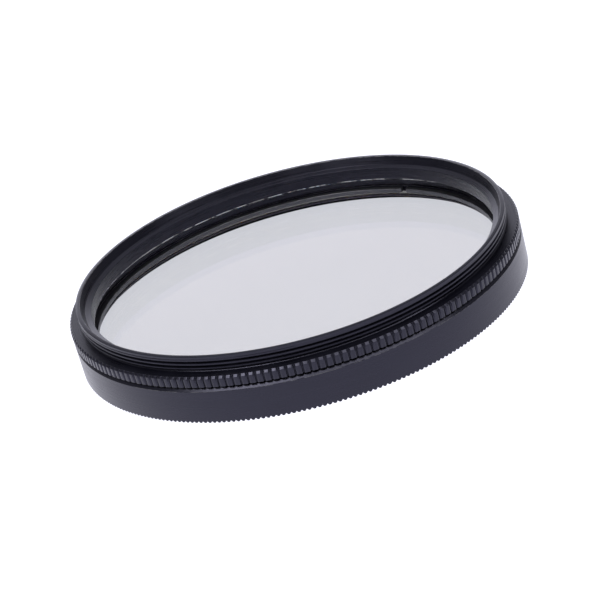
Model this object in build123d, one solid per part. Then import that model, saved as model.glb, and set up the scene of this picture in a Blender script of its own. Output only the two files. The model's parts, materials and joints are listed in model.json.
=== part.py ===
from build123d import *
import math
import os

# A rotating polarising filter for a camera lens. It lies on its front edge at Z = 0, with the
# thread that goes into the lens at the top. All sizes are in millimetres.

# Lens thread, male at the rear and female at the front
THREAD_DIAMETER = 77.0
THREAD_PITCH = 0.75
THREAD_DEPTH_PER_PITCH = 0.5413
REAR_THREAD_LENGTH = 2.7
FRONT_THREAD_LENGTH = 1.5
MOUTH_WIDTH = 1.28
MOUTH_DEPTH = 0.5

# Rear ring
FLANGE_OVERHANG = 1.9
FLANGE_HEIGHT = 1.85
KNURL_COUNT = 198
KNURL_DEPTH = 0.3
KNURL_ANGLE = 90.0
THROAT_WALL = 1.35
THROAT_DEPTH = 1.45
THROAT_TAPER = 0.6
LAND_RISE = 1.0
LAND_BEVEL_HEIGHT = 0.3
LAND_HEIGHT = 2.7
SPIGOT_LENGTH = 1.15
SPIGOT_WALL = 1.25

# Front ring
RING_GAP = 0.35
SHOULDER_CHAMFER = 0.45
BEARING_WALL = 1.75
CELL_STEP = 0.1
CELL_RIM = 0.3
LIP_WIDTH = 0.5
LIP_HEIGHT = 0.3

# Glass sandwich and the ring that holds it
GLASS_THICKNESS = 1.1
FILM_THICKNESS = 0.1
FILM_SETBACK = 0.2
RETAINER_WIDTH = 1.05
RETAINER_HEIGHT = 0.75
RETAINER_GROOVE = 0.2
RETAINER_GAP = 1.0
RETAINER_GAP_ANGLE = 48.8
RETAINER_END_FILLET = 0.6

# Square spring wire between the rings
WIRE_THICKNESS = 0.4
WIRE_GAP = 3.0

# Fits
RUNNING_CLEARANCE = 0.08
AXIAL_CLEARANCE = 0.1
GROOVE_CLEARANCE = 0.05
GLASS_CLEARANCE = 0.1

# Cutters reach this far past the faces that they cut
OVERCUT = 0.5

# Radii, from the lens thread outwards and then inwards
thread_r = THREAD_DIAMETER / 2
front_bore_r = thread_r - THREAD_DEPTH_PER_PITCH * THREAD_PITCH
flange_r = thread_r + FLANGE_OVERHANG
throat_r = thread_r - THROAT_WALL
land_r = throat_r - LAND_RISE
bearing_r = flange_r - BEARING_WALL
spigot_r = bearing_r - RUNNING_CLEARANCE
spigot_inner_r = spigot_r - SPIGOT_WALL
cell_r = spigot_inner_r - CELL_STEP
lip_r = cell_r - LIP_WIDTH
glass_r = cell_r - GLASS_CLEARANCE
film_r = glass_r - FILM_SETBACK
retainer_groove_r = cell_r + RETAINER_GROOVE
retainer_outer_r = retainer_groove_r - GROOVE_CLEARANCE
retainer_inner_r = cell_r - RETAINER_WIDTH
wire_centre_r = (bearing_r + spigot_r) / 2
wire_outer_r = wire_centre_r + WIRE_THICKNESS / 2
wire_inner_r = wire_centre_r - WIRE_THICKNESS / 2
front_groove_r = wire_outer_r + GROOVE_CLEARANCE / 2
rear_groove_r = wire_centre_r - WIRE_THICKNESS - GROOVE_CLEARANCE

# Heights, from the front edge up
lip_z = FRONT_THREAD_LENGTH
front_glass_z = lip_z + LIP_HEIGHT
polariser_z = front_glass_z + GLASS_THICKNESS
quarter_wave_z = polariser_z + FILM_THICKNESS
rear_glass_z = quarter_wave_z + FILM_THICKNESS
retainer_z = rear_glass_z + GLASS_THICKNESS
retainer_top = retainer_z + RETAINER_HEIGHT
retainer_groove_top = retainer_top + GROOVE_CLEARANCE
cell_top = retainer_groove_top + CELL_RIM
spigot_bottom = cell_top + AXIAL_CLEARANCE
flange_bottom = spigot_bottom + SPIGOT_LENGTH
front_top = flange_bottom - RING_GAP
flange_top = flange_bottom + FLANGE_HEIGHT
rear_top = flange_top + REAR_THREAD_LENGTH
throat_bottom = rear_top - THROAT_DEPTH
land_top = throat_bottom - LAND_BEVEL_HEIGHT
land_bottom = land_top - LAND_HEIGHT
wire_z = (spigot_bottom + front_top - WIRE_THICKNESS) / 2
wire_top = wire_z + WIRE_THICKNESS
wire_groove_low = wire_z - GROOVE_CLEARANCE
wire_groove_top = wire_top + GROOVE_CLEARANCE


def turned(*section):
    """A ring turned about Z from a closed section of (radius, height) corners."""
    return revolve(make_face(Plane.XZ * Polyline(*section, close=True)), Axis.Z)


def disc(radius, thickness, low_z):
    """A plain round disc, such as a glass or a film."""
    return Pos(0, 0, low_z + thickness / 2) * Cylinder(radius, thickness)


def split_ring(low_r, high_r, low_z, high_z, gap, gap_angle):
    """A ring of rectangular section, open by a gap at an angle about Z."""
    ring = turned((low_r, low_z), (high_r, low_z), (high_r, high_z), (low_r, high_z))
    opening = Box(high_r - low_r + 2 * OVERCUT, gap, high_z - low_z + 2 * OVERCUT)
    return ring - Rot(Z=gap_angle) * Pos((low_r + high_r) / 2, 0, (low_z + high_z) / 2) * opening


def knurled_blank():
    """A bar as long as the rear ring, with V grooves along it and flat lands between them."""
    half_width = KNURL_DEPTH * math.tan(math.radians(KNURL_ANGLE / 2))
    half_angle = math.degrees(half_width / flange_r)
    rim = []
    for tooth in range(KNURL_COUNT):
        middle = tooth * 360 / KNURL_COUNT
        rim.append(Vector(flange_r, 0).rotate(Axis.Z, middle - half_angle))
        rim.append(Vector(flange_r - KNURL_DEPTH, 0).rotate(Axis.Z, middle))
        rim.append(Vector(flange_r, 0).rotate(Axis.Z, middle + half_angle))
    bar = extrude(make_face(Polyline(*rim, close=True)), rear_top - spigot_bottom + 2 * OVERCUT)
    return Pos(0, 0, spigot_bottom - OVERCUT) * bar


def rear_ring():
    """Ring that screws into the lens, with the knurled flange and the spigot below it."""
    ring = turned(
        (spigot_inner_r, spigot_bottom),
        (spigot_r, spigot_bottom),
        (spigot_r, wire_groove_low),
        (rear_groove_r, wire_groove_low),
        (rear_groove_r, wire_groove_top),
        (spigot_r, wire_groove_top),
        (spigot_r, flange_bottom),
        (flange_r + OVERCUT, flange_bottom),
        (flange_r + OVERCUT, flange_top),
        (thread_r, flange_top),
        (thread_r, rear_top),
        (throat_r + THROAT_TAPER, rear_top),
        (throat_r, throat_bottom),
        (land_r, land_top),
        (land_r, land_bottom),
        (spigot_inner_r, land_bottom),
    )
    return ring & knurled_blank()


def front_ring():
    """Ring that the hand turns: bearing bore at the top, cell for the glass, and female thread."""
    return turned(
        (front_bore_r, MOUTH_DEPTH),
        (front_bore_r + MOUTH_WIDTH, 0),
        (flange_r, 0),
        (flange_r, front_top - SHOULDER_CHAMFER),
        (flange_r - SHOULDER_CHAMFER, front_top),
        (bearing_r, front_top),
        (bearing_r, wire_groove_top),
        (front_groove_r, wire_groove_top),
        (front_groove_r, wire_groove_low),
        (bearing_r, wire_groove_low),
        (bearing_r, cell_top),
        (cell_r, cell_top),
        (cell_r, retainer_groove_top),
        (retainer_groove_r, retainer_groove_top),
        (retainer_groove_r, front_glass_z),
        (lip_r, front_glass_z),
        (lip_r, lip_z),
        (front_bore_r, lip_z),
    )


def retaining_ring():
    """Split flat ring on the rear glass, sprung into its groove in the front ring."""
    ring = split_ring(
        retainer_inner_r, retainer_outer_r, retainer_z, retainer_top, RETAINER_GAP, RETAINER_GAP_ANGLE
    )
    gap_place = Vector(retainer_inner_r, 0, retainer_z).rotate(Axis.Z, RETAINER_GAP_ANGLE)
    inner_corners = ring.edges().filter_by(Axis.Z).sort_by_distance(gap_place)[:2]
    return fillet(inner_corners, RETAINER_END_FILLET)


def snap_wire():
    """Split spring wire, seated in the front ring's groove, that keeps the rings together."""
    gap_angle = RETAINER_GAP_ANGLE + 180
    return split_ring(wire_inner_r, wire_outer_r, wire_z, wire_top, WIRE_GAP, gap_angle)


parts = {
    "rear_ring": rear_ring(),
    "front_ring": front_ring(),
    "retaining_ring": retaining_ring(),
    "snap_wire": snap_wire(),
    "front_glass": disc(glass_r, GLASS_THICKNESS, front_glass_z),
    "polarising_film": disc(film_r, FILM_THICKNESS, polariser_z),
    "quarter_wave_film": disc(film_r, FILM_THICKNESS, quarter_wave_z),
    "rear_glass": disc(glass_r, GLASS_THICKNESS, rear_glass_z),
}

os.makedirs("parts", exist_ok=True)
for node, solid in parts.items():
    export_step(solid, f"parts/{node}.step")
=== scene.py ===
import json
import math

import bmesh
import bpy
import numpy as np
from mathutils import Matrix, Vector


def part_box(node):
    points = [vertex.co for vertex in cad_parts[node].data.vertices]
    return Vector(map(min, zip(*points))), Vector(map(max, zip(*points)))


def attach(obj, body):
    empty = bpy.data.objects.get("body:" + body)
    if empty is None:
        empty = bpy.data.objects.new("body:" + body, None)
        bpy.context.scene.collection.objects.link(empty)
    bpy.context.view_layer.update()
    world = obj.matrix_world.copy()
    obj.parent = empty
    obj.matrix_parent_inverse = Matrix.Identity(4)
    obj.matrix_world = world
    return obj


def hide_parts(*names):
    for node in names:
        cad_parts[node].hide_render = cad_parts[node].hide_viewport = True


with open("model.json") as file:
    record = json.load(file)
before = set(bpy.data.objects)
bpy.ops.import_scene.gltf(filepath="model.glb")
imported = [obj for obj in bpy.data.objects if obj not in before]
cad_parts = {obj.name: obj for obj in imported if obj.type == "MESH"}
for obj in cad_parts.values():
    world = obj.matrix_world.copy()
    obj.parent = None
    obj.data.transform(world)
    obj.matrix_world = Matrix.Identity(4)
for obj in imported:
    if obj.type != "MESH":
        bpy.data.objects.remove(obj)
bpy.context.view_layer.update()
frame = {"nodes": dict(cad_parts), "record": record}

# A rotating polarising filter, lying on its front edge with the lens thread at the top.
# Sizes are in millimetres and become metres when a mesh is made.
MM = 0.001

# Lens threads, whose crests are a little round, with flats that are shares of the pitch
THREAD_PITCH = 0.75
THREAD_DEPTH = 0.46
THREAD_START = 0.18
CREST_FLAT = 0.46
CREST_CROWN = 0.03
ROOT_FLAT = 0.12
ROWS_PER_PITCH = 16
REAR_THREAD_LENGTH = 2.7
REAR_EDGE = 0.06
REAR_LEAD = 0.42
FRONT_THREAD_LENGTH = 1.5
MOUTH_WIDTH = 1.28
MOUTH_DEPTH = 0.5
RELIEF_WIDTH = 0.02
FOOT_INSET = 0.18

# Rear ring, with a knurl of (share of a pitch, share of its depth) steps
FLANGE_HEIGHT = 1.85
FLANGE_CHAMFER = 0.32
FLANGE_EDGE = 0.04
KNURL_COUNT = 198
KNURL_DEPTH = 0.3
KNURL_FLANK = ((0.27, 0.0), (0.22, 0.08), (0.06, 0.62), (0.025, 1.0))
KNURL_LAND = ((0.42, 0.0), (0.58, 0.0))
KNURL_STEPS = (*((-s, d) for s, d in KNURL_FLANK), *reversed(KNURL_FLANK), *KNURL_LAND)
KNURL_RUNOUT = 0.7
THROAT_WALL = 1.35
THROAT_DEPTH = 1.45
THROAT_TAPER = 0.6
LAND_RISE = 1.0
LAND_BEVEL_HEIGHT = 0.3
LAND_HEIGHT = 2.7
LAND_CHAMFER = 0.4
LAND_EDGE = LAND_CHAMFER / 3
SPIGOT_WALL = 1.25
SPIGOT_CHAMFER = 0.12
RUNNING_CLEARANCE = 0.08

# Front ring, with teeth of (share of a pitch, share of their depth) steps
SHOULDER_CHAMFER = 0.45
BEARING_WALL = 1.75
BEARING_CHAMFER = 0.1
CELL_STEP = 0.1
CELL_RIM = 0.3
LIP_WIDTH = 0.5
TOOTH_COUNT = 300
TOOTH_DEPTH = 0.3
TOOTH_REACH = 1.0
TOOTH_STEPS = ((-0.34, 0.0), (-0.03, 1.0), (0.03, 1.0), (0.34, 0.0))
TOOTH_RUNOUT = 0.3

# Grooves, retaining ring, glass and small edges
GROOVE_CLEARANCE = 0.05
RETAINER_WIDTH = 1.05
RETAINER_GAP = 1.0
RETAINER_GAP_ANGLE = 48.8
RETAINER_END_RADIUS = 0.6
RETAINER_END_STEPS = (0.0, 0.03, 0.08, 0.16, 0.28, 0.42, RETAINER_END_RADIUS)
RETAINER_EDGE = 0.08
GLASS_CHAMFER = 0.12
GLUE_GROOVE = 0.15
SOFT_EDGE = 0.06
FINE_EDGE = 0.03

# Wear of the edges that hands, lenses and tools rub, and of the ground edges of the glass, as shares
LIGHT_WEAR = 0.1
RIM_WEAR = 0.2
RETAINER_WEAR = 0.3
LAND_WEAR = 1.0
GROUND_WEAR = 1.0

# Points round the circles of the rings and the glass, and limits for the finished meshes
REAR_POINTS = 2 * KNURL_COUNT
FRONT_POINTS = 2 * TOOTH_COUNT
SMALL_POINTS = 360
MERGE_DISTANCE = 1e-4
SHARP_ANGLE = 38.0

# Turned metals: two tones, roughness along the tool lines, index and colour of the reflections, tool
# lines in a metre, the bare metal that shows where an edge is worn, and the scale of its nicks
ANODISED = {
    "dark": (0.002, 0.002, 0.004),
    "light": (0.004, 0.004, 0.007),
    "roughness": (0.24, 0.36),
    "index": 1.5,
    "sheen": (0.76, 0.75, 1.0),
    "lines_per_metre": 9000.0,
    "bare": (0.75, 0.75, 0.74),
    "wear_scale": 900.0,
}
BLACKENED = {
    "dark": (0.004, 0.004, 0.005),
    "light": (0.008, 0.008, 0.009),
    "roughness": (0.3, 0.42),
    "index": 2.15,
    "sheen": (0.9, 0.9, 1.0),
    "lines_per_metre": 12000.0,
    "bare": (0.5, 0.5, 0.5),
    "wear_scale": 500.0,
}

# Tool lines, which draw reflections out across them, soft blotches, and runs of nicks along worn edges,
# all from noise, with the range of the noise that each one uses
LINE_STRETCH = 0.5
ACROSS_LINES = 0.25
LINE_DRIFT = 0.01
LINE_BUMP = 0.2
LINE_DEPTH = 0.003
LINE_RANGE = (0.3, 0.7)
BLOTCH_SCALE = 160.0
BLOTCH_GLOSS = (-0.02, 0.03)
BLOTCH_RANGE = (0.35, 0.65)
NICKS_PER_RUN = 10.0
RUN_RANGE = (0.38, 0.46)
NICK_RANGE = (0.42, 0.54)
NICK_ROUGHNESS = 0.6
COARSE_DETAIL = 2.0
FINE_DETAIL = 3.0

# Glass with a grey film in it, and a coating that keeps it from mirroring
GLASS_TINTS = ((0.61, 0.60, 0.575, 1), (0.63, 0.62, 0.595, 1))
GLASS_INDEX = 1.7
GLASS_HAZE = (0.0, 0.015)
HAZE_SCALE = 40.0
HAZE_RANGE = (0.4, 0.7)
HAZE_DETAIL = 4.0
GROUND_ROUGHNESS = 0.5
COATING_NANOMETRES = 150.0
COATING_INDEX = 1.3

# Spring wire
WIRE_GREYS = ((0.42, 0.42, 0.43, 1), (0.6, 0.6, 0.6, 1))
WIRE_ROUGHNESS = (0.25, 0.4)
WIRE_LINES_PER_METRE = 30000.0

# Camera: the photograph's view, with the filter's axis leaning to the left, in metres and degrees
CAMERA_PLACE = (-0.00036, -0.32277, 0.14575)
CAMERA_DIP = 24.185
CAMERA_ROLL = 15.587
CAMERA_LENS = 120.0
SENSOR = 36.0

# Light: a glowing white table, a dark room, a white screen behind the filter, and two softboxes
# above, given as place, size and power in metres and watts
FLOOR_SIZE = 6.0
FLOOR_GREYS = ((0.1, 0.1, 0.1, 1), (0.12, 0.12, 0.12, 1))
FLOOR_GRAIN = 3.0
FLOOR_ROUGHNESS = 0.9
FLOOR_GLOW = 1.14
FLOOR_TONE = (1.0, 1.0, 1.12, 1)
SOFTBOXES = {
    "wide_softbox": ((0.0, -0.6, 1.5), (3.6, 0.8), 32.0),
    "key_softbox": ((-0.6, -0.45, 1.4), (0.8, 0.5), 6.5),
}
ROOM_LEVEL = 0.2
CAMERA_SIDE_LEVEL = 0.12
SCREEN_LEVEL = 1.5
CEILING_LEVEL = 0.4

# Where the parts of the room begin and end, along the view and upwards, on a sphere of radius 1
ROOM_ALONG = (-0.8, 0.1)
SCREEN_ALONG = (0.78, 0.92)
SCREEN_UP = (0.2, 0.46)
CEILING_ALONG = (0.2, 0.6)
CEILING_UP = (0.45, 0.75)


def widest(node):
    """The largest distance of a CAD node from the Z axis, in millimetres."""
    return max(math.hypot(v.co.x, v.co.y) for v in frame["nodes"][node].data.vertices) / MM


def heights(node):
    """The lowest and highest point of a CAD node, in millimetres."""
    low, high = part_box(node)
    return low.z / MM, high.z / MM


mounts = {mount["name"]: mount for mount in frame["record"]["mounts"]}
thread_r = mounts["rear_thread"]["dims"]["r_mm"]
front_bore_r = mounts["front_thread"]["dims"]["r_mm"]
outer_r = widest("front_ring")
flange_r = widest("rear_ring")
glass_r = widest("rear_glass")
retainer_outer_r = widest("retaining_ring")
wire_outer_r = widest("snap_wire")
spigot_bottom, rear_top = heights("rear_ring")
front_bottom, front_top = heights("front_ring")
wire_low, wire_high = heights("snap_wire")
retainer_low, retainer_high = heights("retaining_ring")
front_glass_low, front_glass_high = heights("front_glass")
rear_glass_low, rear_glass_high = heights("rear_glass")

throat_r = thread_r - THROAT_WALL
land_r = throat_r - LAND_RISE
bearing_r = outer_r - BEARING_WALL
spigot_r = bearing_r - RUNNING_CLEARANCE
spigot_inner_r = spigot_r - SPIGOT_WALL
cell_r = spigot_inner_r - CELL_STEP
lip_r = cell_r - LIP_WIDTH
retainer_inner_r = cell_r - RETAINER_WIDTH
retainer_groove_r = retainer_outer_r + GROOVE_CLEARANCE
front_groove_r = wire_outer_r + GROOVE_CLEARANCE / 2
wire_thickness = wire_high - wire_low
rear_groove_r = (bearing_r + spigot_r) / 2 - wire_thickness - GROOVE_CLEARANCE
wire_groove_low = wire_low - GROOVE_CLEARANCE
wire_groove_high = wire_high + GROOVE_CLEARANCE
retainer_groove_high = retainer_high + GROOVE_CLEARANCE
cell_top = retainer_groove_high + CELL_RIM
flange_top = rear_top - REAR_THREAD_LENGTH
flange_bottom = flange_top - FLANGE_HEIGHT
throat_bottom = rear_top - THROAT_DEPTH
land_top = throat_bottom - LAND_BEVEL_HEIGHT
land_bottom = land_top - LAND_HEIGHT
lip_z = front_bottom + FRONT_THREAD_LENGTH
mouth_r = front_bore_r + MOUTH_WIDTH


def rounded(*corners):
    """Corners of (radius, height, edge, wear), each rounded by its edge, as (radius, height, wear)."""
    run = []
    for index, (r, z, edge, wear) in enumerate(corners):
        if not edge or index in (0, len(corners) - 1):
            run.append((r, z, wear))
            continue
        here = np.array((r, z))
        back = np.array(corners[index - 1][:2]) - here
        on = np.array(corners[index + 1][:2]) - here
        start = here + back / np.linalg.norm(back) * edge
        end = here + on / np.linalg.norm(on) * edge
        for t, worn in ((0.0, 0.0), (0.25, wear), (0.5, wear), (0.75, wear), (1.0, 0.0)):
            point = (1 - t) ** 2 * start + 2 * t * (1 - t) * here + t**2 * end
            run.append((point[0], point[1], worn))
    return run


class Lathe:
    """A mesh of rings of points about Z, each ring joined to the one before."""

    def __init__(self):
        self.points, self.wear, self.faces = [], [], []
        self.first = self.last = None

    def add(self, angles, radii, levels, wear):
        """A ring of points that isn't joined to anything yet."""
        count = len(angles)
        start = len(self.points)
        radii, levels = np.broadcast_to(radii, count), np.broadcast_to(levels, count)
        self.points += list(zip(radii * np.cos(angles), radii * np.sin(angles), levels))
        self.wear += [wear] * count
        return angles, list(range(start, start + count))

    def ring(self, angles, radii, levels, wear=0.0):
        """A ring of points, joined to the ring before."""
        ring = self.add(angles, radii, levels, wear)
        if self.last:
            self.join(self.last, ring)
        self.first = self.first or ring
        self.last = ring

    def run(self, count, points):
        """Plain circles through (radius, height, wear) points."""
        for r, z, wear in points:
            self.ring(circle(count), r, z, wear)

    def join(self, low, high):
        """Faces between two rings, which may have different numbers of points."""
        (low_angles, a), (high_angles, b) = low, high
        if len(a) == len(b):
            for i in range(len(a)):
                k = (i + 1) % len(a)
                self.faces.append((a[i], a[k], b[k], b[i]))
            return
        i = j = 0
        while i < len(a) or j < len(b):
            next_a = low_angles[i + 1] if i + 1 < len(a) else low_angles[0] + math.tau
            next_b = high_angles[j + 1] if j + 1 < len(b) else high_angles[0] + math.tau
            if j == len(b) or (i < len(a) and next_a <= next_b):
                self.faces.append((a[i % len(a)], a[(i + 1) % len(a)], b[j % len(b)]))
                i += 1
            else:
                self.faces.append((a[i % len(a)], b[(j + 1) % len(b)], b[j % len(b)]))
                j += 1

    def thread(self, count, low, high, radius_at):
        """Rows along a right-hand helix between two heights, where radius_at gives the radii."""
        turns = np.arange(count + 1) / count
        step = THREAD_PITCH / ROWS_PER_PITCH
        bottom, top = sorted((low, high))
        rows = []
        for row in range(math.ceil((top - bottom) / step) + ROWS_PER_PITCH + 1):
            level = bottom + (row - ROWS_PER_PITCH) * step + THREAD_PITCH * turns
            level = np.clip(level, bottom, top)
            rows.append(self.add(math.tau * turns, radius_at(level, turns), level, 0.0))
        if high < low:
            rows.reverse()
        self.join(self.last, (rows[0][0][:-1], rows[0][1][:-1]))
        for (_, a), (_, b) in zip(rows, rows[1:]):
            for i in range(count):
                self.faces.append((a[i], a[i + 1], b[i + 1], b[i]))
        self.last = (rows[-1][0][:-1], rows[-1][1][:-1])

    def close(self):
        """Joins the last ring to the first."""
        self.join(self.last, self.first)

    def piece(self, name):
        """The finished object, with its wear as an attribute."""
        mesh = bpy.data.meshes.new(name)
        mesh.from_pydata([tuple(c * MM for c in p) for p in self.points], [], self.faces)
        mesh.attributes.new("wear", "FLOAT", "POINT").data.foreach_set("value", self.wear)
        return finished(name, mesh)


def finished(name, mesh):
    """An object with merged points, outward faces and smooth shading up to sharp edges."""
    bm = bmesh.new()
    bm.from_mesh(mesh)
    bmesh.ops.remove_doubles(bm, verts=bm.verts, dist=MERGE_DISTANCE * MM)
    bmesh.ops.recalc_face_normals(bm, faces=bm.faces)
    bm.to_mesh(mesh)
    bm.free()
    mesh.shade_smooth()
    mesh.set_sharp_from_angle(angle=math.radians(SHARP_ANGLE))
    piece = bpy.data.objects.new(name, mesh)
    bpy.context.scene.collection.objects.link(piece)
    return piece


def circle(count):
    """Evenly spaced angles round a circle."""
    return math.tau * np.arange(count) / count


def pattern(count, steps):
    """Angles and depths, from 0 to 1, of a pattern of (share of a pitch, depth) steps round a circle."""
    shares = np.array([s for s, _ in steps]) - steps[0][0]
    angles = math.tau / count * (np.arange(count)[:, None] + shares[None, :])
    return angles.ravel(), np.tile([d for _, d in steps], count)


def thread_cut(level, turns):
    """How deep a thread is cut, from 0 on its crest to 1 at its root."""
    phase = ((level - THREAD_START) / THREAD_PITCH - turns) % 1.0
    from_crest = np.minimum(phase, 1.0 - phase)
    crown = CREST_CROWN / THREAD_DEPTH
    on_crest = crown * (from_crest * 2 / CREST_FLAT) ** 2
    on_flank = np.interp(from_crest, (CREST_FLAT / 2, 0.5 - ROOT_FLAT / 2), (crown, 1.0))
    return np.where(from_crest < CREST_FLAT / 2, on_crest, on_flank)


def rear_thread_radius(level, turns):
    """The male thread, with a full start at the rear edge, and a relief and a small cone at its foot."""
    root_r = thread_r - THREAD_DEPTH
    cut = thread_r - THREAD_DEPTH * thread_cut(level, turns)
    start = thread_r - np.maximum(rear_top - REAR_LEAD - level, 0.0)
    edge = thread_r - REAR_EDGE + (rear_top - level)
    relief = root_r + np.maximum(level - flange_top - RELIEF_WIDTH, 0.0)
    foot = thread_r - FOOT_INSET - (level - flange_top)
    return np.maximum(np.minimum(np.minimum(np.maximum(cut, start), edge), relief), foot)


def front_thread_radius(level, turns):
    """The female thread, between the mouth's lead-in and a relief under the lip."""
    root_r = front_bore_r + THREAD_DEPTH
    cut = front_bore_r + THREAD_DEPTH * thread_cut(level, turns)
    lead_in = mouth_r - MOUTH_WIDTH * (level - front_bottom) / MOUTH_DEPTH
    relief = root_r - np.maximum(lip_z - RELIEF_WIDTH - level, 0.0)
    return np.maximum(np.maximum(cut, lead_in), relief)


def make_rear_ring():
    """Ring that screws into the lens: knurled flange, male thread, throat, land and spigot."""
    lathe = Lathe()
    knurl_angles, knurl_depths = pattern(KNURL_COUNT, KNURL_STEPS)
    grooved = flange_r - KNURL_DEPTH * knurl_depths
    inside_r = flange_r - KNURL_RUNOUT
    lathe.ring(knurl_angles, np.minimum(grooved, flange_r - FLANGE_EDGE), flange_bottom)
    lathe.ring(knurl_angles, grooved, flange_bottom + FLANGE_EDGE)
    lathe.ring(knurl_angles, grooved, flange_top - FLANGE_CHAMFER)
    lathe.ring(knurl_angles, np.minimum(grooved, flange_r - FLANGE_CHAMFER), flange_top)
    lathe.run(REAR_POINTS, [(inside_r, flange_top, 0.0), (thread_r - FOOT_INSET, flange_top, 0.0)])
    lathe.thread(REAR_POINTS, flange_top + SOFT_EDGE, rear_top - SOFT_EDGE, rear_thread_radius)
    lathe.run(
        REAR_POINTS,
        rounded(
            (thread_r - REAR_EDGE - FINE_EDGE, rear_top, 0.0, 0.0),
            (throat_r + THROAT_TAPER, rear_top, SOFT_EDGE, RIM_WEAR),
            (throat_r, throat_bottom, SOFT_EDGE, 0.0),
            (land_r, land_top, SOFT_EDGE, 0.0),
            (land_r, land_bottom + LAND_CHAMFER, LAND_EDGE, LAND_WEAR),
            (land_r + LAND_CHAMFER, land_bottom, LAND_EDGE, LAND_WEAR),
            (spigot_inner_r, land_bottom, SOFT_EDGE, 0.0),
            (spigot_inner_r, spigot_bottom, SOFT_EDGE, 0.0),
            (spigot_r - SPIGOT_CHAMFER, spigot_bottom, FINE_EDGE, 0.0),
            (spigot_r, spigot_bottom + SPIGOT_CHAMFER, FINE_EDGE, 0.0),
            (spigot_r, wire_groove_low, FINE_EDGE, 0.0),
            (rear_groove_r, wire_groove_low, FINE_EDGE, 0.0),
            (rear_groove_r, wire_groove_high, FINE_EDGE, 0.0),
            (spigot_r, wire_groove_high, FINE_EDGE, 0.0),
            (spigot_r, flange_bottom, FINE_EDGE, 0.0),
            (inside_r, flange_bottom, 0.0, 0.0),
        ),
    )
    lathe.close()
    return lathe.piece("threaded_rear_ring")


def make_front_ring():
    """Ring that the hand turns: toothed front edge, shoulder, bearing bore, glass cell and female thread."""
    lathe = Lathe()
    tooth_angles, tooth_depths = pattern(TOOTH_COUNT, TOOTH_STEPS)
    edge_middle_r = (mouth_r + outer_r - TOOTH_REACH) / 2
    lathe.ring(tooth_angles, outer_r - TOOTH_REACH, front_bottom)
    lathe.ring(tooth_angles, outer_r, front_bottom + TOOTH_DEPTH * tooth_depths)
    lathe.ring(tooth_angles, outer_r, front_bottom + TOOTH_DEPTH + TOOTH_RUNOUT)
    lathe.run(
        FRONT_POINTS,
        rounded(
            (outer_r, front_bottom + TOOTH_DEPTH + 2 * TOOTH_RUNOUT, 0.0, 0.0),
            (outer_r, front_top - SHOULDER_CHAMFER, SOFT_EDGE, LIGHT_WEAR),
            (outer_r - SHOULDER_CHAMFER, front_top, SOFT_EDGE, LIGHT_WEAR),
            (bearing_r + BEARING_CHAMFER, front_top, FINE_EDGE, 0.0),
            (bearing_r, front_top - BEARING_CHAMFER, FINE_EDGE, 0.0),
            (bearing_r, wire_groove_high, FINE_EDGE, 0.0),
            (front_groove_r, wire_groove_high, FINE_EDGE, 0.0),
            (front_groove_r, wire_groove_low, FINE_EDGE, 0.0),
            (bearing_r, wire_groove_low, FINE_EDGE, 0.0),
            (bearing_r, cell_top, SOFT_EDGE, 0.0),
            (cell_r, cell_top, SOFT_EDGE, LIGHT_WEAR),
            (cell_r, retainer_groove_high, FINE_EDGE, 0.0),
            (retainer_groove_r, retainer_groove_high, FINE_EDGE, 0.0),
            (retainer_groove_r, front_glass_low, FINE_EDGE, 0.0),
            (lip_r, front_glass_low, FINE_EDGE, LIGHT_WEAR),
            (lip_r, lip_z, SOFT_EDGE, LIGHT_WEAR),
            (front_bore_r + THREAD_DEPTH - SOFT_EDGE, lip_z, 0.0, 0.0),
        ),
    )
    lathe.thread(FRONT_POINTS, lip_z - SOFT_EDGE, front_bottom + SOFT_EDGE, front_thread_radius)
    lathe.run(FRONT_POINTS, [(mouth_r, front_bottom, 0.0), (edge_middle_r, front_bottom, 0.0)])
    lathe.close()
    return lathe.piece("toothed_front_ring")


def make_retaining_ring():
    """Split flat ring whose ends are rounded at their inner corners."""
    half_gap = RETAINER_GAP / 2 / retainer_inner_r
    length = math.tau - 2 * half_gap
    ends = np.array(RETAINER_END_STEPS) / retainer_inner_r
    middle = np.linspace(ends[-1], length - ends[-1], SMALL_POINTS)[1:-1]
    along = np.concatenate((ends, middle, length - ends[::-1]))
    from_end = np.minimum(along, length - along) * retainer_inner_r
    curve = RETAINER_END_RADIUS - np.minimum(from_end, RETAINER_END_RADIUS)
    inner = retainer_inner_r + RETAINER_END_RADIUS - np.sqrt(RETAINER_END_RADIUS**2 - curve**2)
    width = retainer_outer_r - inner
    angles = math.radians(RETAINER_GAP_ANGLE) + half_gap + along
    # The section's first number is a share of the width, from the inner edge
    section = rounded(
        (0.5, retainer_low, 0.0, 0.0),
        (1.0, retainer_low, RETAINER_EDGE, 0.0),
        (1.0, retainer_high, RETAINER_EDGE, RETAINER_WEAR),
        (0.0, retainer_high, RETAINER_EDGE, RETAINER_WEAR),
        (0.0, retainer_low, 0.0, 0.0),
        (0.5, retainer_low, 0.0, 0.0),
    )[:-1]
    lathe = Lathe()
    rows = [lathe.add(angles, inner + share * width, z, wear)[1] for share, z, wear in section]
    for a, b in zip(rows, rows[1:] + rows[:1]):
        for i in range(len(angles) - 1):
            lathe.faces.append((a[i], a[i + 1], b[i + 1], b[i]))
    lathe.faces.append(tuple(row[0] for row in rows))
    lathe.faces.append(tuple(row[-1] for row in rows))
    return lathe.piece("split_retaining_ring")


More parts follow.
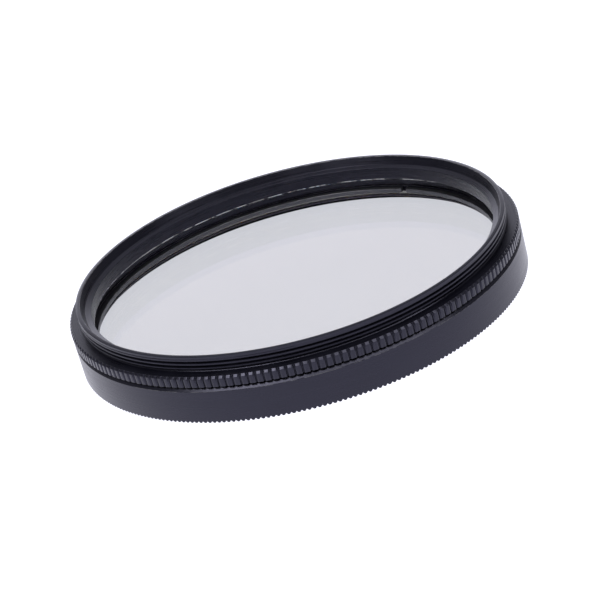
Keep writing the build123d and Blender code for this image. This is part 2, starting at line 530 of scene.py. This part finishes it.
def make_glass():
    """Both glasses with the films glued between them, as one body of glass with ground edges."""
    lathe = Lathe()
    ground_r = glass_r - GLASS_CHAMFER
    polished_r = ground_r - FINE_EDGE
    glue_r = glass_r - GLUE_GROOVE
    ground = (
        (ground_r, front_glass_low),
        (glass_r, front_glass_low + GLASS_CHAMFER),
        (glass_r, front_glass_high - FINE_EDGE),
        (glue_r, front_glass_high),
        (glue_r, rear_glass_low),
        (glass_r, rear_glass_low + FINE_EDGE),
        (glass_r, rear_glass_high - GLASS_CHAMFER),
        (ground_r, rear_glass_high),
    )
    lathe.run(SMALL_POINTS, [(polished_r, front_glass_low, 0.0)])
    lathe.run(SMALL_POINTS, [(r, z, GROUND_WEAR) for r, z in ground])
    lathe.run(SMALL_POINTS, [(polished_r, rear_glass_high, 0.0)])
    lathe.faces.append(tuple(lathe.first[1]))
    lathe.faces.append(tuple(lathe.last[1]))
    return lathe.piece("glass_laminate")


class Nodes:
    """Adds linked shader nodes to a material or world."""

    def __init__(self, tree):
        self.tree = tree
        self.tree.nodes.clear()

    def add(self, kind, settings=None, **inputs):
        """A node with its settings, and its inputs named with underscores for spaces."""
        node = self.tree.nodes.new(kind)
        for key, value in (settings or {}).items():
            setattr(node, key, value)
        for key, value in inputs.items():
            self.put(node, key.replace("_", " "), value)
        return node

    def put(self, node, socket, value):
        """A link or a plain value on a socket, which is given by its name or number."""
        target = node.inputs[socket]
        if isinstance(value, bpy.types.NodeSocket):
            self.tree.links.new(value, target)
        else:
            target.default_value = value

    def math(self, operation, a, b=0.0):
        """A calculation with one or two values."""
        node = self.add("ShaderNodeMath", {"operation": operation})
        self.put(node, 0, a)
        self.put(node, 1, b)
        return node.outputs[0]

    def blend(self, factor, a, b):
        """A colour between two colours."""
        node = self.add("ShaderNodeMix", {"data_type": "RGBA"})
        for socket, value in ((0, factor), (6, a), (7, b)):
            self.put(node, socket, value)
        return node.outputs[2]

    def span(self, value, source, target=(0.0, 1.0)):
        """A value taken from one range to another, and kept inside it."""
        node = self.add("ShaderNodeMapRange", {"clamp": True})
        for socket, number in enumerate((value, *source, *target)):
            self.put(node, socket, number)
        return node.outputs[0]

    def noise(self, vector, scale, detail, roughness=0.5):
        """Noise about 0.5, whose scale is in repeats to a unit of the vector."""
        node = self.add("ShaderNodeTexNoise", Vector=vector, Scale=scale, Detail=detail)
        self.put(node, "Roughness", roughness)
        return node.outputs[0]

    def place(self):
        """Places on the object, in metres."""
        return self.add("ShaderNodeTexCoord").outputs["Object"]

    def wear(self):
        """The mesh's own wear."""
        return self.add("ShaderNodeAttribute", {"attribute_name": "wear"}).outputs["Fac"]

    def surface(self, shader):
        """Puts a shader on the material's surface."""
        self.add("ShaderNodeOutputMaterial", Surface=shader.outputs[0])


def new_material(name):
    """A material without nodes yet, and the way to add them."""
    material = bpy.data.materials.new(name)
    material.use_nodes = True
    return material, Nodes(material.node_tree)


def turning_lines(nodes, place, per_metre):
    """Noise that runs in lines round the axis, as a turning tool leaves it, and soft blotches over it."""
    x, y, z = nodes.add("ShaderNodeSeparateXYZ", Vector=place).outputs
    squares = nodes.math("ADD", nodes.math("MULTIPLY", x, x), nodes.math("MULTIPLY", y, y))
    radius = nodes.math("SQRT", squares)
    drift = nodes.math("MULTIPLY", x, LINE_DRIFT)
    vector = nodes.add("ShaderNodeCombineXYZ", X=radius, Y=z, Z=drift).outputs[0]
    lines = nodes.noise(vector, per_metre, FINE_DETAIL)
    return lines, nodes.noise(place, BLOTCH_SCALE, FINE_DETAIL)


def metal(name, dark, light, roughness, index, sheen, lines_per_metre, bare, wear_scale):
    """A turned metal with tool lines, uneven gloss, and bare metal where its edges are worn."""
    material, nodes = new_material(name)
    place = nodes.place()
    lines, blotch = turning_lines(nodes, place, lines_per_metre)
    colour = nodes.blend(nodes.span(blotch, BLOTCH_RANGE), (*dark, 1), (*light, 1))
    runs = nodes.span(nodes.noise(place, wear_scale / NICKS_PER_RUN, COARSE_DETAIL), RUN_RANGE)
    nicks = nodes.span(nodes.noise(place, wear_scale, FINE_DETAIL, NICK_ROUGHNESS), NICK_RANGE)
    worn = nodes.math("MULTIPLY", nodes.wear(), nodes.math("MULTIPLY", runs, nicks))
    colour = nodes.blend(worn, colour, (*bare, 1))
    line_gloss = nodes.span(lines, LINE_RANGE, roughness)
    gloss = nodes.math("ADD", line_gloss, nodes.span(blotch, LINE_RANGE, BLOTCH_GLOSS))
    bump = nodes.add("ShaderNodeBump", Strength=LINE_BUMP, Distance=LINE_DEPTH * MM, Height=lines)
    around = nodes.add("ShaderNodeTangent", {"direction_type": "RADIAL", "axis": "Z"})
    shader = nodes.add("ShaderNodeBsdfPrincipled", Base_Color=colour, Roughness=gloss, Metallic=worn)
    nodes.put(shader, "Normal", bump.outputs[0])
    nodes.put(shader, "Tangent", around.outputs[0])
    nodes.put(shader, "IOR", index)
    nodes.put(shader, "Specular Tint", (*sheen, 1))
    nodes.put(shader, "Anisotropic", LINE_STRETCH)
    nodes.put(shader, "Anisotropic Rotation", ACROSS_LINES)
    nodes.surface(shader)
    return material


def glass_material():
    """Coated glass with a grey film in it and ground edges."""
    material, nodes = new_material("filter_glass")
    haze = nodes.noise(nodes.place(), HAZE_SCALE, HAZE_DETAIL)
    ground = nodes.math("MULTIPLY", nodes.wear(), GROUND_ROUGHNESS)
    rough = nodes.math("MAXIMUM", nodes.span(haze, HAZE_RANGE, GLASS_HAZE), ground)
    tint = nodes.blend(haze, *GLASS_TINTS)
    shader = nodes.add("ShaderNodeBsdfPrincipled", Base_Color=tint, Roughness=rough, IOR=GLASS_INDEX)
    nodes.put(shader, "Transmission Weight", 1.0)
    nodes.put(shader, "Thin Film Thickness", COATING_NANOMETRES)
    nodes.put(shader, "Thin Film IOR", COATING_INDEX)
    nodes.surface(shader)
    return material


def wire_material():
    """Drawn spring wire with fine lines along it."""
    material, nodes = new_material("spring_wire")
    lines, blotch = turning_lines(nodes, nodes.place(), WIRE_LINES_PER_METRE)
    colour = nodes.blend(blotch, *WIRE_GREYS)
    rough = nodes.span(lines, LINE_RANGE, WIRE_ROUGHNESS)
    shader = nodes.add("ShaderNodeBsdfPrincipled", Base_Color=colour, Roughness=rough, Metallic=1.0)
    nodes.surface(shader)
    return material


def floor_material():
    """White table, lit from inside."""
    material, nodes = new_material("white_table")
    grain = nodes.noise(nodes.place(), FLOOR_GRAIN, COARSE_DETAIL)
    colour = nodes.blend(grain, *FLOOR_GREYS)
    shader = nodes.add("ShaderNodeBsdfPrincipled", Base_Color=colour, Roughness=FLOOR_ROUGHNESS)
    nodes.put(shader, "Specular IOR Level", 0.0)
    nodes.put(shader, "Emission Color", FLOOR_TONE)
    nodes.put(shader, "Emission Strength", FLOOR_GLOW)
    nodes.surface(shader)
    return material


# Pieces, each on its body and in place of its solids
rear_ring = make_rear_ring()
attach(rear_ring, "rear_mount")
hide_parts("rear_ring")

front_ring = make_front_ring()
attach(front_ring, "front_cell")
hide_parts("front_ring")

retaining_ring = make_retaining_ring()
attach(retaining_ring, "front_cell")
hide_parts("retaining_ring")

glass = make_glass()
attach(glass, "front_cell")
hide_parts("front_glass", "polarising_film", "quarter_wave_film", "rear_glass")

# Materials, also for the wire, which is shown as its solid
anodised = metal("black_anodised", **ANODISED)
blackened = metal("blackened_steel", **BLACKENED)
for piece, material in (
    (rear_ring, anodised),
    (front_ring, anodised),
    (retaining_ring, blackened),
    (glass, glass_material()),
    (frame["nodes"]["snap_wire"], wire_material()),
):
    piece.data.materials.clear()
    piece.data.materials.append(material)

# Table
floor_mesh = bpy.data.meshes.new("floor")
half = FLOOR_SIZE / 2
corners = [(-half, -half, 0), (half, -half, 0), (half, half, 0), (-half, half, 0)]
floor_mesh.from_pydata(corners, [], [(0, 1, 2, 3)])
floor_mesh.materials.append(floor_material())
floor = bpy.data.objects.new("floor", floor_mesh)
bpy.context.scene.collection.objects.link(floor)

# Softboxes, which face the filter
for name, (place, size, power) in SOFTBOXES.items():
    light = bpy.data.lights.new(name, "AREA")
    light.shape = "RECTANGLE"
    light.size, light.size_y = size
    light.energy = power
    softbox = bpy.data.objects.new(name, light)
    softbox.location = place
    softbox.rotation_euler = Vector(place).to_track_quat("Z", "Y").to_euler()
    bpy.context.scene.collection.objects.link(softbox)

# Room, with the screen and the ceiling behind the filter
world = bpy.data.worlds.new("studio")
bpy.context.scene.world = world
world.use_nodes = True
nodes = Nodes(world.node_tree)
direction = nodes.add("ShaderNodeTexCoord").outputs["Generated"]
_, along, up = nodes.add("ShaderNodeSeparateXYZ", Vector=direction).outputs
room = nodes.span(along, ROOM_ALONG, (CAMERA_SIDE_LEVEL, ROOM_LEVEL))
behind = nodes.span(along, SCREEN_ALONG, (0.0, SCREEN_LEVEL))
screen = nodes.math("MULTIPLY", behind, nodes.span(up, SCREEN_UP, (1.0, 0.0)))
over = nodes.span(along, CEILING_ALONG, (0.0, CEILING_LEVEL))
ceiling = nodes.math("MULTIPLY", over, nodes.span(up, CEILING_UP))
strength = nodes.math("ADD", room, nodes.math("ADD", screen, ceiling))
background = nodes.add("ShaderNodeBackground", Color=FLOOR_TONE, Strength=strength)
nodes.add("ShaderNodeOutputWorld", Surface=background.outputs[0])

# Camera
camera_data = bpy.data.cameras.new("camera")
camera_data.lens = CAMERA_LENS
camera_data.sensor_width = SENSOR
camera = bpy.data.objects.new("camera", camera_data)
tilt = Matrix.Rotation(math.radians(90 - CAMERA_DIP), 4, "X")
roll = Matrix.Rotation(math.radians(-CAMERA_ROLL), 4, "Z")
camera.matrix_world = Matrix.Translation(CAMERA_PLACE) @ tilt @ roll
bpy.context.scene.collection.objects.link(camera)
bpy.context.scene.camera = camera
bpy.context.scene.view_settings.view_transform = "Standard"
